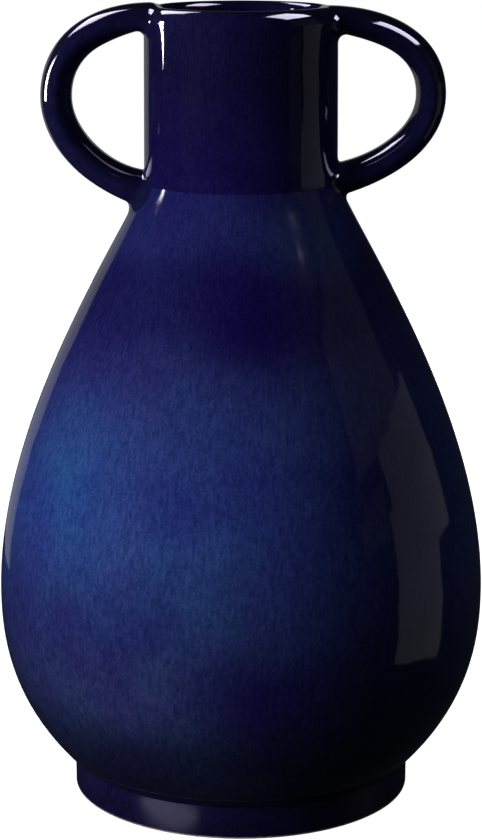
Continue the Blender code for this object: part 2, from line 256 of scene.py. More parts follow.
def shell_object(name, grid, tips=None):
    """A closed shell from a grid of rows and columns.

    Without tips the last row joins the first. With tips, a pair of points, a fan of
    triangles closes each end.
    """
    rows, columns = grid.shape[:2]
    points = grid.reshape(-1, 3)
    quads = grid_faces(rows, columns, close_rows=tips is None)
    fans = np.empty((0, 3), dtype=int)
    if tips is not None:
        points = np.vstack((points, tips))
        start_fan = fan_faces(0, columns, len(points) - 2)[:, ::-1]
        fans = np.vstack((start_fan, fan_faces((rows - 1) * columns, columns, len(points) - 1)))
    triangles = np.vstack((quads[:, :3], quads[:, [0, 2, 3]], fans))
    if enclosed_volume(points, triangles) < 0:
        quads, fans = quads[:, ::-1], fans[:, ::-1]
    mesh = bpy.data.meshes.new(name)
    mesh.from_pydata(points.tolist(), [], quads.tolist() + fans.tolist())
    mesh.shade_smooth()
    mesh.set_sharp_from_angle(angle=math.radians(50))
    piece = bpy.data.objects.new(name, mesh)
    bpy.context.scene.collection.objects.link(piece)
    print(f"{name}: {len(triangles)} triangles")
    return piece


# %% Turning
def turned(name, outline, on_axis):
    """Each outline point swept round the axis: radius times cosine and sine, and its height."""
    angle = np.linspace(0.0, 2 * math.pi, TURNED_SEGMENTS, endpoint=False)
    ring = outline[1:-1] if on_axis else outline
    radius, height = ring[:, 0, None], ring[:, 1, None]
    grid = np.stack((radius * np.cos(angle), radius * np.sin(angle), height + 0 * angle), axis=-1)
    tips = np.array([(0.0, 0.0, outline[k][1]) for k in (0, -1)]) if on_axis else None
    return shell_object(name, grid, tips)


# %% [markdown]
# ## The body
#
# The body is a pear-shaped pot with a floor, thrown on the wheel and open at the top. A Solidify
# modifier could give a skin its wall, but it can't make the flat floor inside or the ledge that
# the neck stands on. So one closed outline goes all round the clay: along the floor, up the
# inside, over the ledge, down the outside and back to the axis.


# %% The body
def make_body():
    """Hollow shell: floor, inside wall, the ledge under the neck, and the outside."""
    floor_z = BASE_Z + FLOOR
    wall = sideways(joined(shoulder_curve(60), lower_curve(30)), -WALL)[::-1]
    corner_z = floor_z + FLOOR_CORNER
    floor_radius = np.interp(floor_z, wall[:, 1], wall[:, 0])
    corner_foot = np.array((floor_radius, floor_z))
    corner_top = np.array((np.interp(corner_z, wall[:, 1], wall[:, 0]), corner_z))
    floor_edge = corner_foot - (FLOOR_CORNER, 0.0)
    corner = bezier(floor_edge, corner_foot, corner_foot, corner_top, 10)
    side = wall[(wall[:, 1] > corner_z + 0.001) & (wall[:, 1] < SPIGOT_Z)]
    ledge = straight((side[-1][0], SEAT_Z), (NECK_RADIUS, SEAT_Z), 3)
    lower = lower_curve(70)
    base = lower[-1]
    lower = lower[lower[:, 1] > BASE_Z + BASE_ROUND]
    underside = base - (BASE_ROUND, 0.0)
    edge = bezier(lower[-1], base, base, underside, 5)
    flat = straight(underside, (0.0, BASE_Z), 12)
    floor = straight((0.0, floor_z), floor_edge, 10)
    outline = joined(floor, corner, side, ledge, shoulder_curve(110), lower, edge, flat)
    return turned("glazed_body", outline, on_axis=True)


glazed_body = make_body()

# %% [markdown]
# ## The neck
#
# The neck is a straight collar, thrown separately, with a thick rolled lip. Its lower end goes a
# little way down inside the body. A plain cylinder with a Bevel would look machined; here the
# lip is two quarter ellipses of different sizes, and the wall thickens slowly towards it. The
# outline closes on itself, so the collar has a real wall that shows through the mouth.


# %% The neck
def make_neck():
    """Collar: thick rolled lip, tapering wall, joint fillet, and the spigot in the body."""
    crest = lip_crest()
    bore = NECK_RADIUS - WALL
    inner_centre = (crest[0], LIP_Z - LIP_INNER_ROLL)
    inner_roll = ellipse_arc(inner_centre, (LIP_INNER_ROLL, LIP_INNER_ROLL), 180, 90, 16)
    lip_foot = np.array((neck_side_radius(LIP_Z - LIP_DEPTH) - NECK_TOP_WALL, LIP_Z - LIP_DEPTH))
    third = np.array((0.0, LIP_DEPTH / 3))
    thickening = bezier(lip_foot, lip_foot + third, inner_roll[0] - third, inner_roll[0], 14)
    outer = outer_neck()
    under = outer[-1] - (JOINT_TUCK, 0.0)
    spigot = straight(under, (under[0] - SPIGOT_TAPER, SPIGOT_Z), 3)
    inside = straight((bore, SPIGOT_Z), lip_foot, 40)
    outline = joined(outer, spigot, inside, thickening, inner_roll)[:-1]
    return turned("glazed_neck", outline, on_axis=False)


glazed_neck = make_neck()

# %% [markdown]
# ## The foot ring
#
# The ring lifts the vase off the table and is the only part that touches it. It is upright and
# plain, and its lower edges are wiped with a sponge so that they don't chip. Its top runs a
# little way up into the body, where nobody sees it, so that no gap shows at the joint.


# %% The foot ring
def make_foot():
    """Upright ring: its top runs a little way up into the body, its lower edges are wiped."""
    inner = FOOT_RADIUS - FOOT_WIDTH
    edge = FOOT_EDGE_ROUND
    top_z = BASE_Z + FOOT_OVERLAP
    outer_edge = ellipse_arc((FOOT_RADIUS - edge, edge), (edge, edge), 0, -90, 6)
    inner_edge = ellipse_arc((inner + edge, edge), (edge, edge), -90, -180, 6)
    outline = joined(straight((inner, top_z), (FOOT_RADIUS, top_z), 3),
                     straight((FOOT_RADIUS, top_z), outer_edge[0], 12), outer_edge,
                     inner_edge, straight(inner_edge[-1], (inner, top_z), 12))[:-1]
    return turned("glazed_foot", outline, on_axis=False)


glazed_foot = make_foot()

# %% [markdown]
# ## The skin that the handles are stuck to
#
# A handle is pressed onto the leather-hard pot and the joint is smoothed with a finger. Its
# ends therefore flare and lie down on the pot. To model that, the outside of the pot is needed
# as a function: a distance down the outline from the crest of the lip, and an angle round the
# axis, give a point. Negative distances go over the crest into the mouth.

# %% Skin of the vase
inner_crest = ellipse_arc((lip_crest()[0], LIP_Z - LIP_INNER_ROLL),
                          (LIP_INNER_ROLL, LIP_INNER_ROLL), 180, 90, 24)
skin_line = joined(inner_crest, outside)
skin_along = lengths_along(skin_line) - lengths_along(inner_crest)[-1]
print(f"skin of {len(skin_line)} points, {skin_along[-1] * 1000:.0f} mm down from the crest")


def skin_point(distance, angle, sink=0.0):
    """The outline's radius and height at a distance from the crest, turned by an angle."""
    way = np.gradient(skin_line, skin_along, axis=0)
    radius, height, way_r, way_z = (np.interp(distance, skin_along, line) for line in
                                    (*skin_line.T, *way.T))
    radius, height = radius + sink * way_z, height - sink * way_r
    return np.stack((radius * np.cos(angle), radius * np.sin(angle), height), axis=-1)


def skin_distance(height):
    """Distance from the crest of the point of the outside at a height."""
    return np.interp(-height, -outside[:, 1], lengths_along(outside))


# %% [markdown]
# ## Handles
#
# Each handle is a strap of clay bent into an ear. Its surface is an oval section carried along
# a bent path. At both ends the section opens out along a cubic curve until it lies on the skin
# of the vase. How far it opens is set for the top, the sides and the bottom of each joint,
# because a thumb presses the clay differently all the way round.

# %% Handle sizes
# The top is how far it is below the crest, its slope and its pull. The bow is how far it
# reaches out, how far it is below the crest, and its pulls up and down. The foot is how far it
# is above the seat of the neck, its slope and its pull.
LEFT_HANDLE = {
    "side": -1, "thickness": 0.0174, "depth": 0.0358,
    "top": (0.0078, math.radians(4.0), 0.0324),
    "bow": (0.0485, 0.0497, 0.0266, 0.0251),
    "foot": (-0.0050, math.radians(3.6), 0.0266),
}
RIGHT_HANDLE = {
    "side": 1, "thickness": 0.0165, "depth": 0.0358,
    "top": (0.0088, math.radians(2.5), 0.0270),
    "bow": (0.0513, 0.0482, 0.0295, 0.0276),
    "foot": (-0.0008, math.radians(9.3), 0.0238),
}
HANDLE_TOP_SINK = 0.0055     # the path begins and ends this far inside the neck
HANDLE_FOOT_SINK = 0.0060
SWELL_LENGTH = 0.034         # the strap changes its thickness this close to its ends
HANDLE_ROWS = 150
HANDLE_COLUMNS = 72

# Each joint, at its upper side, its flanks and its lower side: how much the strap swells, how
# far out along the handle the flare begins, and how far over the skin it spreads.
LEFT_TOP_JOINT = {"swells": (0.0010, 0.0010, -0.0056), "begins": (-0.0030, 0.0055, 0.0040),
                  "spreads": (0.0045, 0.0100, 0.0045)}
LEFT_FOOT_JOINT = {"swells": (0.0014, 0.0012, 0.0028), "begins": (0.0018, 0.0060, 0.0068),
                   "spreads": (0.0018, 0.0105, 0.0085)}
RIGHT_TOP_JOINT = {"swells": (0.0008, 0.0010, -0.0036), "begins": (-0.0030, 0.0055, 0.0050),
                   "spreads": (0.0045, 0.0090, 0.0060)}
RIGHT_FOOT_JOINT = {"swells": (0.0012, 0.0010, 0.0010), "begins": (0.0048, 0.0045, 0.0045),
                    "spreads": (0.0060, 0.0060, 0.0050)}
LEFT_HANDLE.update(top_joint=LEFT_TOP_JOINT, foot_joint=LEFT_FOOT_JOINT)
RIGHT_HANDLE.update(top_joint=RIGHT_TOP_JOINT, foot_joint=RIGHT_FOOT_JOINT)
for sizes in (LEFT_HANDLE, RIGHT_HANDLE):
    print(f"strap {sizes['thickness'] * 1000:.1f} by {sizes['depth'] * 1000:.1f} mm")


# %% Path of a handle
def handle_path(sizes, steps=160):
    """Two cubic curves, from the upper end out to the bow and back in to the lower end."""
    top_drop, top_slope, top_pull = sizes["top"]
    reach, bow_drop, pull_up, pull_down = sizes["bow"]
    foot_rise, foot_slope, foot_pull = sizes["foot"]
    top = np.array((NECK_TOP_RADIUS - HANDLE_TOP_SINK, LIP_Z - top_drop))
    bow = np.array((NECK_TOP_RADIUS + reach, LIP_Z - bow_drop))
    foot = np.array((NECK_RADIUS - HANDLE_FOOT_SINK, SEAT_Z + foot_rise))
    top_way = np.array((math.cos(top_slope), math.sin(top_slope)))
    foot_way = np.array((math.cos(foot_slope), math.sin(foot_slope)))
    upper = bezier(top, top + top_pull * top_way, bow + (0.0, pull_up), bow, steps)
    lower = bezier(bow, bow - (0.0, pull_down), foot + foot_pull * foot_way, foot, steps)
    return joined(upper, lower)


for sizes in (LEFT_HANDLE, RIGHT_HANDLE):
    print(f"path of {lengths_along(handle_path(sizes))[-1] * 1000:.0f} mm")


# %% Section of the strap
def round_the_joint(three, angle):
    """A value for the upper side, the flanks and the lower side, blended by cos and cos squared."""
    upper, flank, lower = three
    turn = np.cos(angle)
    return flank + (upper - lower) / 2 * turn + ((upper + lower) / 2 - flank) * turn ** 2


def handle_section(distance, angle, length, handle):
    """Half the thickness and half the depth of the oval.

    Both swell towards each end, by the square of the nearness to it.
    """
    near_top = np.clip(1.0 - distance / SWELL_LENGTH, 0.0, 1.0) ** 2
    near_foot = np.clip(1.0 - (length - distance) / SWELL_LENGTH, 0.0, 1.0) ** 2
    top, foot = handle["top_joint"]["swells"], handle["foot_joint"]["swells"]
    thick = (handle["thickness"] / 2 + near_top * round_the_joint(top, angle)
             + near_foot * round_the_joint(foot, math.pi - angle))
    return thick, handle["depth"] / 2 + near_top * top[1] + near_foot * foot[1]


def strap_point(path, distance, angle, handle):
    """Centre of the path plus half the thickness by cosine and half the depth by sine.

    Angle zero is the outer side of the bend. Also gives the way that the path runs there.
    """
    along = lengths_along(path)
    way = np.gradient(path, along, axis=0)
    way /= np.linalg.norm(way, axis=1)[:, None]
    x, z, way_x, way_z = (np.interp(distance, along, line) for line in (*path.T, *way.T))
    thick, deep = handle_section(distance, angle, along[-1], handle)
    out, flank = thick * np.cos(angle), deep * np.sin(angle)
    side = handle["side"]
    point = np.stack((side * (x - way_z * out), side * flank, z + way_x * out), axis=-1)
    return point, np.stack((side * way_x, 0 * x, way_z), axis=-1)


# %% [markdown]
# ## The joints of a handle
#
# On the real vase each end of the strap is scored, stuck down with slip and smoothed, and the
# glaze softens what is left of the edge. A Boolean union with a Bevel would give an even little
# fillet all round. A cubic curve for each angle, from the strap to the skin, can open wide on
# one side and stay tight on the other, as a thumb leaves it. It leaves the strap along the
# strap and reaches the skin along the skin, so neither end shows a crease.

# %% Sizes of the joints
LANDING_SINK = 0.00002       # the edge of a joint lies this far under the skin
TANGENT_SHARE = 0.96         # a second oval, this much smaller, gives the way along the skin
PULL_SHARE = 0.42            # how long each curve keeps its direction, of its whole span
BURIED_RING = (0.8, 0.002)   # the last ring: its share of the landing, and how deep it lies
BURIED_TIP = 0.003           # how deep the closing point lies
FILLET_ROWS = 16
print(f"{FILLET_ROWS} rows of points in each joint")


# %% Rows of a joint
def joint_rows(start, start_way, centre_distance, landing_size, angle, side, steps):
    """Cubic curves from the section of the handle to the skin, one for each angle.

    They land on an oval on the skin, whose half height and half width are the landing size.
    """
    turn = 0.0 if side > 0 else math.pi
    half_height, half_width = landing_size

    def landing(factor, sink):
        down = centre_distance - factor * half_height * np.cos(angle)
        radius = np.hypot(*np.moveaxis(skin_point(down, 0 * angle)[..., :2], -1, 0))
        return skin_point(down, turn + factor * half_width * np.sin(angle) / radius, sink)

    end = landing(1.0, LANDING_SINK)
    inward = landing(TANGENT_SHARE, LANDING_SINK) - end
    inward /= np.linalg.norm(inward, axis=-1)[:, None]
    size = PULL_SHARE * np.linalg.norm(end - start, axis=-1)[:, None]
    t = np.linspace(0.0, 1.0, steps + 1)[1:, None, None]
    a, b, c, d = start, start + size * start_way, end + size * inward, end
    curve = (1 - t) ** 3 * a + 3 * (1 - t) ** 2 * t * b + 3 * (1 - t) * t ** 2 * c + t ** 3 * d
    buried = landing(*BURIED_RING)
    return np.concatenate((curve, buried[None])), landing(0.0, BURIED_TIP)[0]


# %% The whole handle
def flank_lag(path_radius, handle):
    """How much nearer the axis the skin is at the flank of the strap than at its middle."""
    return path_radius - math.sqrt(path_radius ** 2 - (handle["depth"] / 2) ** 2)


def make_handle(name, handle):
    """The strap between its two joints, and the rows that lay each end on the skin."""
    path = handle_path(handle)
    along = lengths_along(path)
    middle = len(path) // 2
    outside_at = np.interp(-path[:, 1], -outside[:, 1], outside[:, 0])
    clear = path[:, 0] - outside_at
    angle = np.linspace(0.0, 2 * math.pi, HANDLE_COLUMNS, endpoint=False)
    joints = []
    for part, joint, turned_angle, way_in in ((slice(0, middle), "top_joint", angle, 1),
                                              (slice(middle, None), "foot_joint",
                                               math.pi - angle, -1)):
        exit_at = np.interp(0.0, clear[part][::way_in], along[part][::way_in])
        centre_x, centre_z = (np.interp(exit_at, along, line) for line in path.T)
        ahead = (round_the_joint(handle[joint]["begins"], turned_angle)
                 - flank_lag(centre_x, handle) * np.sin(angle) ** 2)
        thick, deep = handle_section(exit_at, angle, along[-1], handle)
        spread = round_the_joint(handle[joint]["spreads"], turned_angle)
        joints.append((exit_at + way_in * ahead, skin_distance(centre_z),
                       (thick + spread, deep + spread), turned_angle))
    share = np.linspace(0.0, 1.0, HANDLE_ROWS + 1)[:, None]
    distance = joints[0][0] + share * (joints[1][0] - joints[0][0])
    roll, way = strap_point(path, distance, angle + 0 * distance, handle)
    ends = [joint_rows(start, start_way, *joint[1:], handle["side"], FILLET_ROWS)
            for start, start_way, joint in zip((roll[0], roll[-1]), (-way[0], way[-1]), joints)]
    (top_rows, top_tip), (foot_rows, foot_tip) = ends
    grid = np.concatenate((top_rows[::-1], roll, foot_rows))
    return shell_object(name, grid, np.array((top_tip, foot_tip)))


# %% Both handles
glazed_handle_left = make_handle("glazed_handle_left", LEFT_HANDLE)
glazed_handle_right = make_handle("glazed_handle_right", RIGHT_HANDLE)

# %% [markdown]
# ## Building shader nodes
#
# A small helper keeps the node code readable: it adds a node, sets its choices and fills its
# inputs, which may be plain values or links from other nodes.


# %% Node helper
def add_node(tree, kind, choices=None, **inputs):
    """Add a shader node, set its choices, and fill its inputs by name or by number."""
    node = tree.nodes.new("ShaderNode" + kind)
    for name, value in (choices or {}).items():
        setattr(node, name, value)
    for name, value in inputs.items():
        socket = node.inputs[int(name[1:]) if name[0] == "i" and name[1:].isdigit()
                             else name.replace("_", " ")]
        if isinstance(value, bpy.types.NodeSocket):
            tree.links.new(value, socket)
        else:
            socket.default_value = value
    return node


def maths(tree, operation, *values):
    """One Math node; the values are numbers or links."""
    inputs = {f"i{k}": value for k, value in enumerate(values)}
    return add_node(tree, "Math", {"operation": operation}, **inputs).outputs[0]


def soft_step(tree, value, low, high):
    """0 below low, 1 above high, and a smooth rise between them."""
    step = add_node(tree, "MapRange", {"interpolation_type": "SMOOTHSTEP"}, Value=value,
                    From_Min=low, From_Max=high)
    return step.outputs["Result"]


def mix_colour(tree, factor, first, second):
    """Blend two colours; the factor, and either colour, may be a link."""
    return add_node(tree, "Mix", {"data_type": "RGBA"}, i0=factor, i6=first,
                    i7=second).outputs[2]


def tinted(tree, colour, factor, tint):
    """Multiply a colour by a tint, as far as the factor says."""
    return add_node(tree, "Mix", {"data_type": "RGBA", "blend_type": "MULTIPLY"}, i0=factor,
                    i6=colour, i7=tint).outputs[2]


def new_group(name, inputs, outputs):
    """A node group with named sockets, and its two ends."""
    tree = bpy.data.node_groups.new(name, "ShaderNodeTree")
    for label, kind, value in inputs:
        socket = tree.interface.new_socket(label, in_out="INPUT", socket_type="NodeSocket" + kind)
        if value is not None:
            socket.default_value = value
    for label, kind in outputs:
        tree.interface.new_socket(label, in_out="OUTPUT", socket_type="NodeSocket" + kind)
    return tree, tree.nodes.new("NodeGroupInput"), tree.nodes.new("NodeGroupOutput")


# %% [markdown]
# ## What the glaze is made of
#
# Cobalt glaze is a thick coloured glass over pale clay. Where it lies thin or cools slowly it
# breaks to a lighter, greener blue, and where it pools it goes to violet black. Seen close, it
# carries fine upright strokes left by the brush and a worm-like speckle. Each of those effects
# is a node group of its own, because all the pieces of the vase need the same ones. They could
# be painted by hand on a map, but a pattern worked out from the place on the vase has no seam.


# %% A space that wraps round the vase
def make_turned_group():
    """Divides x and y by the radius, so that a pattern keeps its width all the way up."""
    tree, ins, outs = new_group("turned_surface", [("Position", "Vector", None),
                                                   ("Upright Stretch", "Float", 4.0)],
                                [("Wrapped", "Vector")])
    flat = add_node(tree, "VectorMath", {"operation": "MULTIPLY"}, i0=ins.outputs["Position"],
                    i1=(1.0, 1.0, 0.0)).outputs[0]
    unit = add_node(tree, "VectorMath", {"operation": "NORMALIZE"}, i0=flat).outputs[0]
    ring = add_node(tree, "VectorMath", {"operation": "SCALE"}, i0=unit, Scale=0.1).outputs[0]
    height = add_node(tree, "SeparateXYZ", i0=ins.outputs["Position"]).outputs["Z"]
    short = maths(tree, "DIVIDE", height, ins.outputs["Upright Stretch"])
    lift = add_node(tree, "CombineXYZ", i2=short).outputs[0]
    wrapped = add_node(tree, "VectorMath", {"operation": "ADD"}, i0=ring, i1=lift).outputs[0]
    tree.links.new(wrapped, outs.inputs["Wrapped"])
    return tree


turned_group = make_turned_group()
print("group:", turned_group.name)


# %% Brush strokes and speckle
STROKE_STRETCH = 4.5         # how much longer than wide the strokes are


def make_strokes_group(turned_group):
    """Upright strokes and a worm-like speckle, each a value round one half."""
    tree, ins, outs = new_group("brush_strokes", [("Position", "Vector", None),
                                                  ("Stroke Scale", "Float", 700.0),
                                                  ("Speckle Scale", "Float", 420.0)],
                                [("Strokes", "Float"), ("Speckle", "Float")])
    wrap = add_node(tree, "Group", {"node_tree": turned_group}, i0=ins.outputs["Position"],
                    i1=STROKE_STRETCH).outputs[0]
    strokes = add_node(tree, "TexNoise", Vector=wrap, Scale=ins.outputs["Stroke Scale"],
                       Detail=3.0, Roughness=0.6).outputs["Fac"]
    speckle = add_node(tree, "TexNoise", Vector=ins.outputs["Position"],
                       Scale=ins.outputs["Speckle Scale"], Detail=2.0,
                       Distortion=1.6).outputs["Fac"]
    tree.links.new(strokes, outs.inputs["Strokes"])
    tree.links.new(speckle, outs.inputs["Speckle"])
    return tree


strokes_group = make_strokes_group(turned_group)
print("group:", strokes_group.name)


# %% Clouds
def make_clouds_group():
    """Three slow noises, taken at different places, that say where the glaze changes colour."""
    tree, ins, outs = new_group("glaze_clouds", [("Position", "Vector", None),
                                                 ("Cloud Scale", "Float", 15.0)],
                                [("Violet", "Float"), ("Teal", "Float"), ("Depth", "Float")])
    places = {"Violet": (0.37, 0.11, 0.05), "Teal": (1.73, 0.42, 0.31), "Depth": (0.9, 2.1, 0.6)}
    for label, place in places.items():
        moved = add_node(tree, "VectorMath", {"operation": "ADD"}, i0=ins.outputs["Position"],
                         i1=place).outputs[0]
        noise = add_node(tree, "TexNoise", Vector=moved, Scale=ins.outputs["Cloud Scale"],
                         Detail=3.0, Roughness=0.55, Distortion=0.4).outputs["Fac"]
        tree.links.new(soft_step(tree, noise, 0.35, 0.68), outs.inputs[label])
    return tree


clouds_group = make_clouds_group()
print("group:", clouds_group.name)


# %% Soft patches
def make_patch_group():
    """One soft patch: full at its centre and gone at its reach, measured along each axis."""
    tree, ins, outs = new_group("soft_patch", [("Position", "Vector", None),
                                               ("Centre", "Vector", (0.0, 0.0, 0.0)),
                                               ("Reach", "Vector", (0.1, 0.1, 0.1))],
                                [("Mask", "Float")])
    offset = add_node(tree, "VectorMath", {"operation": "SUBTRACT"}, i0=ins.outputs["Position"],
                      i1=ins.outputs["Centre"]).outputs[0]
    scaled = add_node(tree, "VectorMath", {"operation": "DIVIDE"}, i0=offset,
                      i1=ins.outputs["Reach"]).outputs[0]
    away = add_node(tree, "VectorMath", {"operation": "LENGTH"}, i0=scaled).outputs["Value"]
    rise = soft_step(tree, away, 0.0, 1.0)
    tree.links.new(maths(tree, "SUBTRACT", 1.0, rise), outs.inputs["Mask"])
    return tree


patch_group = make_patch_group()
print("group:", patch_group.name)


# %% Ripple
RING_STRETCH = 0.25          # throwing rings are this share as tall as they are wide
RING_SCALE, PIT_SCALE = 24.0, 900.0
RING_SHARE, PIT_SHARE = 0.35, 0.02   # their heights beside that of the waves


def make_ripple_group(turned_group):
    """Height of the glassy surface: slow waves from firing and faint throwing rings."""
    tree, ins, outs = new_group("glaze_ripple", [("Position", "Vector", None),
                                                 ("Wave Scale", "Float", 55.0)],
                                [("Height", "Float")])
    waves = add_node(tree, "TexNoise", Vector=ins.outputs["Position"],
                     Scale=ins.outputs["Wave Scale"], Detail=1.0, Roughness=0.4).outputs["Fac"]
    wrap = add_node(tree, "Group", {"node_tree": turned_group}, i0=ins.outputs["Position"],
                    i1=RING_STRETCH).outputs[0]
    rings = add_node(tree, "TexNoise", Vector=wrap, Scale=RING_SCALE, Detail=1.0).outputs["Fac"]
    pits = add_node(tree, "TexNoise", Vector=ins.outputs["Position"], Scale=PIT_SCALE,
                    Detail=1.0).outputs["Fac"]
    slow = maths(tree, "MULTIPLY_ADD", rings, RING_SHARE, waves)
    tree.links.new(maths(tree, "MULTIPLY_ADD", pits, PIT_SHARE, slow), outs.inputs["Height"])
    return tree


ripple_group = make_ripple_group(turned_group)
print("group:", ripple_group.name)

# %% [markdown]
# ## Mixing the glaze
#
# The materials share one recipe. It starts from bands of blue that change with height, lays in
# a few broad patches, shifts the colour towards violet and teal with the clouds, and darkens or
# lightens it with the strokes and the speckle. On the body the violet and teal patches are the
# glaze's own colour and the haze patch is lighter low on the left; the azure patch is painted
# light where the soft light from the left falls, and the slate and ink patches are painted shade
# on the right and low on the right. Where the grain thins the glaze, the pale clay shows
# through, so red and green rise faster than blue does. On the foot the glaze is satin instead of
# mirror-like.

# %% Colours of the glaze
VIOLET = (0.0130, 0.0060, 0.1150, 1.0)
TEAL = (0.0260, 0.0560, 0.2300, 1.0)
# The azure colour is painted light: the body's patch where the soft light from the left falls.
AZURE_PAINTED_LIGHT = (0.0360, 0.1000, 0.3900, 1.0)
# The slate colour is painted shade: the body's right side, away from the soft light.
SLATE_PAINTED_SHADE = (0.0230, 0.0290, 0.1450, 1.0)
# The ink colour is painted shade: low on the right, where the belly turns away from the light.
INK_PAINTED_SHADE = (0.0060, 0.0100, 0.0600, 1.0)
HAZE = (0.0450, 0.0600, 0.2300, 1.0)
PALE_CLAY = (0.55, 0.47, 0.38, 1.0)
VIOLET_TINT = (0.80, 0.55, 0.85, 1.0)    # what a cloud multiplies the colour by
TEAL_TINT = (1.05, 1.35, 1.10, 1.0)

# Bands of colour by height: a height above the table in metres, and the glaze's colour there.
BODY_BANDS = (
    (0.020, (0.011, 0.015, 0.050)), (0.060, (0.019, 0.026, 0.088)),
    (0.080, (0.028, 0.038, 0.145)), (0.110, (0.032, 0.045, 0.195)),
    (0.135, (0.034, 0.055, 0.240)), (0.180, (0.040, 0.086, 0.345)),
    (0.205, (0.039, 0.077, 0.335)), (0.235, (0.036, 0.055, 0.270)),
    (0.262, (0.032, 0.038, 0.210)), (0.283, (0.020, 0.018, 0.140)),
    (0.303, (0.017, 0.016, 0.130)), (0.322, (0.025, 0.027, 0.180)),
    (0.345, (0.022, 0.021, 0.165)),
)
NECK_BANDS = ((0.350, (0.013, 0.009, 0.105)), (0.385, (0.013, 0.009, 0.085)),
              (0.410, (0.012, 0.008, 0.063)), (0.440, (0.014, 0.012, 0.075)))
HANDLE_BANDS = ((0.340, (0.013, 0.012, 0.075)), (0.400, (0.012, 0.011, 0.055)),
                (0.440, (0.010, 0.009, 0.055)))
FOOT_BANDS = ((0.003, (0.009, 0.007, 0.045)), (0.012, (0.012, 0.010, 0.062)),
              (0.020, (0.012, 0.011, 0.062)))

# Broad patches on the body: a colour, the centre, how far it reaches, and how strong it is.
BODY_PATCHES = (
    ("violet cloud", VIOLET, (0.005, -0.080, 0.290), (0.062, 0.090, 0.050), 0.95),
    ("teal shoulder", TEAL, (0.040, -0.055, 0.328), (0.045, 0.070, 0.034), 0.55),
    # Painted light: a brighter azure patch where the soft light from the left falls on the belly.
    ("painted light on the left", AZURE_PAINTED_LIGHT, (-0.088, -0.090, 0.190), (0.060, 0.100, 0.055), 0.90),
    # Painted shade: a darker slate patch on the right side, away from the soft light.
    ("painted shade on the right", SLATE_PAINTED_SHADE, (0.085, -0.090, 0.190), (0.085, 0.130, 0.120), 0.90),
    ("low haze", HAZE, (-0.055, -0.115, 0.090), (0.075, 0.100, 0.034), 0.75),
    # Painted shade: a near-black patch low on the right, where the belly turns away from the light.
    ("painted shade low on the right", INK_PAINTED_SHADE, (0.080, -0.110, 0.085), (0.130, 0.140, 0.080), 0.85),
    ("violet foot", VIOLET, (0.010, -0.130, 0.095), (0.060, 0.090, 0.035), 0.75),
)
print(f"{len(BODY_BANDS)} bands and {len(BODY_PATCHES)} patches on the body")


# %% Strengths of the effects
GRAIN_GAINS = (2.0, 1.4, 0.95)       # how strongly the grain shows in red, green and blue
DARKEST_GRAIN = 0.15
STROKE_GAIN, SPECKLE_GAIN = 1.1, 0.9     # how far each sways round 1
BAND_SWAY = 0.012            # the bands wander up and down by half of this, in metres
BARE_BELOW, GLAZED_ABOVE = 0.0007, 0.0013
BARE_ROUGHNESS = 0.85
POLISH_SWAY = 0.04           # the glaze is rougher by this much where it is deepest
RIPPLE_HEIGHT = 0.0002
GLAZE_IOR = 1.5
print(f"bare clay below {BARE_BELOW * 1000:.1f} mm, ripple of {RIPPLE_HEIGHT * 1000:.1f} mm")


# %% Colour by height
def band_colour(tree, height, bands):
    """Colour by height: a ramp whose stops are the bands."""
    low, high = bands[0][0], bands[-1][0]
    share = add_node(tree, "MapRange", Value=height, From_Min=low, From_Max=high).outputs[0]
    node = add_node(tree, "ValToRGB", i0=share)
    stops = node.color_ramp.elements
    while len(stops) < len(bands):
        stops.new(0.5)
    for stop, (level, colour) in zip(stops, bands):
        stop.position = (level - low) / (high - low)
        stop.color = (*colour, 1.0)
    return node.outputs["Color"]


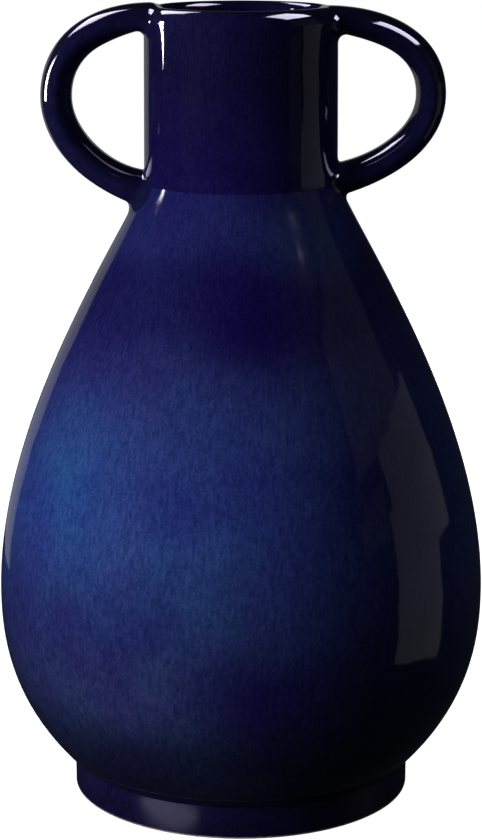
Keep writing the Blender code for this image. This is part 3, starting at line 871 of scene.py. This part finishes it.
# %% The glaze recipe
def glaze(name, bands, cloud_strength, patches=(), polish=0.05):
    """Cobalt glaze over clay: colour from bands, patches, clouds and strokes.

    Polish is the roughness of the glaze where it is thinnest. The lowest millimetre, which
    rests on the kiln shelf, is wiped bare and shows the clay.
    """
    material = bpy.data.materials.new(name)
    material.use_nodes = True
    tree = material.node_tree
    shader = tree.nodes["Principled BSDF"]
    place = add_node(tree, "TexCoord").outputs["Object"]
    clouds = add_node(tree, "Group", {"node_tree": clouds_group}, i0=place).outputs
    height = add_node(tree, "SeparateXYZ", i0=place).outputs["Z"]
    sway = maths(tree, "SUBTRACT", clouds["Depth"], 0.5)
    colour = band_colour(tree, maths(tree, "MULTIPLY_ADD", sway, BAND_SWAY, height), bands)
    # Each patch mixes in its colour; on the body the azure patch is painted light and the slate and
    # ink patches are painted shade.
    for label, tint, centre, reach, strength in patches:
        mask = add_node(tree, "Group", {"node_tree": patch_group, "label": label}, i0=place,
                        i1=centre, i2=reach).outputs[0]
        colour = mix_colour(tree, maths(tree, "MULTIPLY", mask, strength), colour, tint)
    violet = maths(tree, "MULTIPLY", clouds["Violet"], cloud_strength)
    teal = maths(tree, "MULTIPLY", clouds["Teal"], cloud_strength)
    colour = tinted(tree, colour, violet, VIOLET_TINT)
    colour = tinted(tree, colour, teal, TEAL_TINT)
    marks = add_node(tree, "Group", {"node_tree": strokes_group}, i0=place).outputs
    stroke, speckle = (maths(tree, "MULTIPLY_ADD", marks[label], gain, 1.0 - gain / 2)
                       for label, gain in (("Strokes", STROKE_GAIN), ("Speckle", SPECKLE_GAIN)))
    shade = maths(tree, "MULTIPLY", stroke, speckle)
    shades = (maths(tree, "MULTIPLY_ADD", shade, gain, 1.0 - gain) for gain in GRAIN_GAINS)
    red, green, blue = (maths(tree, "MAXIMUM", DARKEST_GRAIN, value) for value in shades)
    grain = add_node(tree, "CombineXYZ", i0=red, i1=green, i2=blue).outputs[0]
    colour = tinted(tree, colour, 1.0, grain)
    bare = maths(tree, "SUBTRACT", 1.0, soft_step(tree, height, BARE_BELOW, GLAZED_ABOVE))
    colour = mix_colour(tree, bare, colour, tinted(tree, PALE_CLAY, 1.0, grain))
    tree.links.new(colour, shader.inputs["Base Color"])
    ripple = add_node(tree, "Group", {"node_tree": ripple_group}, i0=place).outputs[0]
    bump = add_node(tree, "Bump", Height=ripple, Distance=RIPPLE_HEIGHT, Strength=1.0).outputs[0]
    tree.links.new(bump, shader.inputs["Normal"])
    gloss = maths(tree, "MULTIPLY_ADD", clouds["Depth"], POLISH_SWAY, polish)
    rough = maths(tree, "MAXIMUM", gloss, maths(tree, "MULTIPLY", bare, BARE_ROUGHNESS))
    tree.links.new(rough, shader.inputs["Roughness"])
    shader.inputs["IOR"].default_value = GLAZE_IOR
    print(f"{name}: {len(tree.nodes)} nodes")
    return material


# %% The four glazes
body_glaze = glaze("body_glaze", BODY_BANDS, 0.8, BODY_PATCHES)
neck_glaze = glaze("neck_glaze", NECK_BANDS, 0.8)
handle_glaze = glaze("handle_glaze", HANDLE_BANDS, 0.5)
foot_glaze = glaze("foot_glaze", FOOT_BANDS, 0.5, polish=0.26)

# %% [markdown]
# ## The camera
#
# A vase looks best from a distance, through a long lens, because its two sides stay almost
# parallel. The camera stands a little above the lip, which shows a sliver of the mouth.

# %% Camera
camera = bpy.data.cameras.new("camera")
camera.lens = 104.61
camera.sensor_width = 36
camera.clip_end = 20
camera_stand = bpy.data.objects.new("camera", camera)
camera_stand.location = (0.0, -1.348, 0.5319)
camera_stand.rotation_euler = (math.radians(76.72), 0.0, 0.0)
bpy.context.scene.collection.objects.link(camera_stand)
bpy.context.scene.camera = camera_stand
print(f"camera {camera_stand.location.z - LIP_Z:.2f} m above the lip, lens {camera.lens:.0f} mm")

# %% [markdown]
# ## The floor
#
# The vase stands on a wide sheet of white paper, lit so strongly that it has no shadow. A sheet
# that glows a little does the same. It is hidden from reflections and from the light on the
# vase, because a glowing floor would wash out the deep blue from below.


# %% Floor
def add_floor(size, cells):
    """A flat grid: even steps across for the first parameter and along for the second."""
    across = np.linspace(-size / 2, size / 2, cells + 1)
    x, y = np.meshgrid(across, across, indexing="ij")
    points = np.stack((x, y, 0 * x), axis=-1).reshape(-1, 3)
    corner = (np.arange(cells)[:, None] * (cells + 1) + np.arange(cells)).ravel()
    faces = np.column_stack((corner, corner + cells + 1, corner + cells + 2, corner + 1))
    mesh = bpy.data.meshes.new("floor")
    mesh.from_pydata(points.tolist(), [], faces.tolist())
    floor = bpy.data.objects.new("floor", mesh)
    bpy.context.scene.collection.objects.link(floor)
    material = bpy.data.materials.new("floor_paper")
    material.use_nodes = True
    tree = material.node_tree
    shader = tree.nodes["Principled BSDF"]
    place = add_node(tree, "TexCoord").outputs["Object"]
    fibre = add_node(tree, "TexNoise", Vector=place, Scale=300.0, Detail=3.0).outputs["Fac"]
    paper = mix_colour(tree, fibre, (0.86, 0.86, 0.86, 1.0), (0.90, 0.90, 0.90, 1.0))
    tree.links.new(paper, shader.inputs["Base Color"])
    tree.links.new(paper, shader.inputs["Emission Color"])
    shader.inputs["Emission Strength"].default_value = 1.15
    shader.inputs["Roughness"].default_value = 0.9
    mesh.materials.append(material)
    floor.visible_glossy = False
    floor.visible_diffuse = False
    print(f"floor {size:.0f} m wide, {len(faces)} faces")


add_floor(12.0, 8)

# %% [markdown]
# ## The lights
#
# The light is that of a product studio. Large soft lights, which the glaze doesn't mirror, make
# the blue glow from inside. Everything that the glaze does mirror is a panel of its own: a dim
# wall at the right, a bright panel overhead for the highlights on the lip and the handles, a
# narrow strip that draws the edge of the neck, and the lit table top beside the foot.

# %% Sizes of the lights
LAVENDER = (0.78, 0.74, 1.0)
# The lit table top beside the foot, as discs one inside the other: width, height, brightness.
FOOT_GLOW_PLACE, FOOT_GLOW_AIM = (-0.066, -0.107, -0.001), (0.0, 0.0, -0.09)
FOOT_GLOWS = (("foot_glow", 0.060, 0.030, 1.2), ("foot_glow_core", 0.034, 0.020, 2.4))
# Parts of the grey wall: where each runs along the wall, its heights, and its brightness.
WALL_X = 0.88
WALL_PANELS = (
    ("wall_low", -0.28, 0.18, -0.25, 0.12, 0.15),
    ("wall_middle", -0.27, 0.40, 0.12, 0.30, 0.14),
    ("wall_high", -0.22, 0.37, 0.30, 0.46, 0.12),
    ("wall_top", -0.50, 0.20, 0.46, 0.90, 0.05),
    ("wall_side", -0.56, -0.28, 0.24, 0.38, 0.03),
)
print(f"a wall of {len(WALL_PANELS)} panels, {WALL_X} m to the right")


# %% A softbox
def place_at(azimuth, elevation, distance, aim):
    """A point at a distance from the aim: azimuth 0 is towards the viewer, 90 to the right."""
    a, e = math.radians(azimuth), math.radians(elevation)
    return (aim[0] + distance * math.cos(e) * math.sin(a),
            aim[1] - distance * math.cos(e) * math.cos(a), aim[2] + distance * math.sin(e))


def softbox(name, centre, aim, width, height, brightness, reflected=True, lighting=True,
            shape="RECTANGLE", tint=(1.0, 1.0, 1.0), spread=math.pi):
    """A flat light that faces a point. Its brightness is per unit of its own area."""
    light = bpy.data.lights.new(name, "AREA")
    light.shape = shape
    light.color = tint
    light.size, light.size_y, light.spread = width, height, spread
    light.energy = brightness * math.pi * width * height
    lamp = bpy.data.objects.new(name, light)
    lamp.location = centre
    towards = [c - a for c, a in zip(centre, aim)]
    flat = math.hypot(towards[0], towards[1])
    lamp.rotation_euler = (math.atan2(flat, towards[2]), 0.0,
                           math.atan2(towards[1], towards[0]) + math.pi / 2)
    lamp.visible_camera = False
    lamp.visible_glossy = reflected
    lamp.visible_diffuse = lighting
    bpy.context.scene.collection.objects.link(lamp)


# %% All the lights
def add_lights():
    """Soft light from the left, a grey wall on the right, and panels that only make highlights."""
    middle, lip = (0.0, 0.0, 0.20), (0.0, 0.0, LIP_Z)
    softbox("left_glow", place_at(-60, 12, 1.6, middle), middle, 0.8, 1.0, 6.0, reflected=False)
    softbox("right_fill", place_at(50, 45, 1.5, middle), middle, 0.6, 0.6, 1.2, reflected=False)
    softbox("back_fill", place_at(176, 8, 1.6, middle), middle, 0.7, 1.0, 2.6, reflected=False)
    for name, y_from, y_to, z_from, z_to, brightness in WALL_PANELS:
        y, z = (y_from + y_to) / 2, (z_from + z_to) / 2
        softbox(name, (WALL_X, y, z), (0.0, y, z), y_to - y_from, z_to - z_from, brightness,
                lighting=False)
    softbox("overhead", place_at(85, 52, 1.2, lip), lip, 0.80, 0.62, 18.0, lighting=False,
            tint=LAVENDER)
    softbox("left_top", place_at(-140, 42, 1.2, lip), lip, 0.50, 0.50, 11.0, lighting=False,
            tint=LAVENDER)
    softbox("back_glow", place_at(180, 4, 2.2, middle), middle, 1.2, 1.0, 0.3, lighting=False)
    softbox("back_left", place_at(-151, 0, 1.8, middle), middle, 0.7, 1.0, 0.25, lighting=False)
    softbox("left_glint", (-0.165, 0.008, 0.425), (-0.10, 0.0, 0.425), 0.018, 0.074, 10.0,
            lighting=False, spread=math.radians(52))
    for name, width, height, brightness in FOOT_GLOWS:
        softbox(name, FOOT_GLOW_PLACE, FOOT_GLOW_AIM, width, height, brightness,
                lighting=False, shape="ELLIPSE", tint=LAVENDER)


add_lights()
print("lights:", len(bpy.data.lights))

# %% [markdown]
# ## The room
#
# Dark glaze mirrors the room it stands in. A white room would wash it out, so only the viewer
# sees the room as white. For the glaze it is almost dark, with a little blue in it.


# %% The room
def add_world():
    """Pale to the viewer and dim for everything else."""
    world = bpy.data.worlds.new("studio")
    bpy.context.scene.world = world
    world.use_nodes = True
    tree = world.node_tree
    tree.nodes.clear()
    seen = add_node(tree, "LightPath").outputs["Is Camera Ray"]
    pale = add_node(tree, "Background", i0=(1.0, 1.0, 1.0, 1.0), i1=1.0).outputs[0]
    dim = add_node(tree, "Background", i0=(0.55, 0.6, 0.8, 1.0), i1=0.012).outputs[0]
    mixed = add_node(tree, "MixShader", i0=seen, i1=dim, i2=pale).outputs[0]
    add_node(tree, "OutputWorld", i0=mixed)
    print(f"{world.name}: {len(tree.nodes)} nodes")


add_world()
bpy.context.scene.view_settings.view_transform = "Standard"

# %% [markdown]
# ## Hand over
#
# Each new piece rides with the vase, stands for its plain nodes, and names the finish that it
# wears. The handles also stand for the coils of clay round their ends.

# %% Place the finishes and finish the frame
PIECES = {
    glazed_body: ("body_glaze", body_glaze, ("body",)),
    glazed_neck: ("neck_glaze", neck_glaze, ("neck",)),
    glazed_foot: ("foot_glaze", foot_glaze, ("foot_ring",)),
    glazed_handle_left: ("handle_glaze", handle_glaze,
                         ("handle_left", "handle_left_upper_coil", "handle_left_lower_coil")),
    glazed_handle_right: ("handle_glaze", handle_glaze,
                          ("handle_right", "handle_right_upper_coil",
                           "handle_right_lower_coil")),
}
for piece, (slot, finish, nodes) in PIECES.items():
    piece.data.materials.append(finish)
    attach(piece, "root")
    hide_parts(*nodes)
    print(f"{piece.name} wears {slot} and stands for {', '.join(nodes)}")
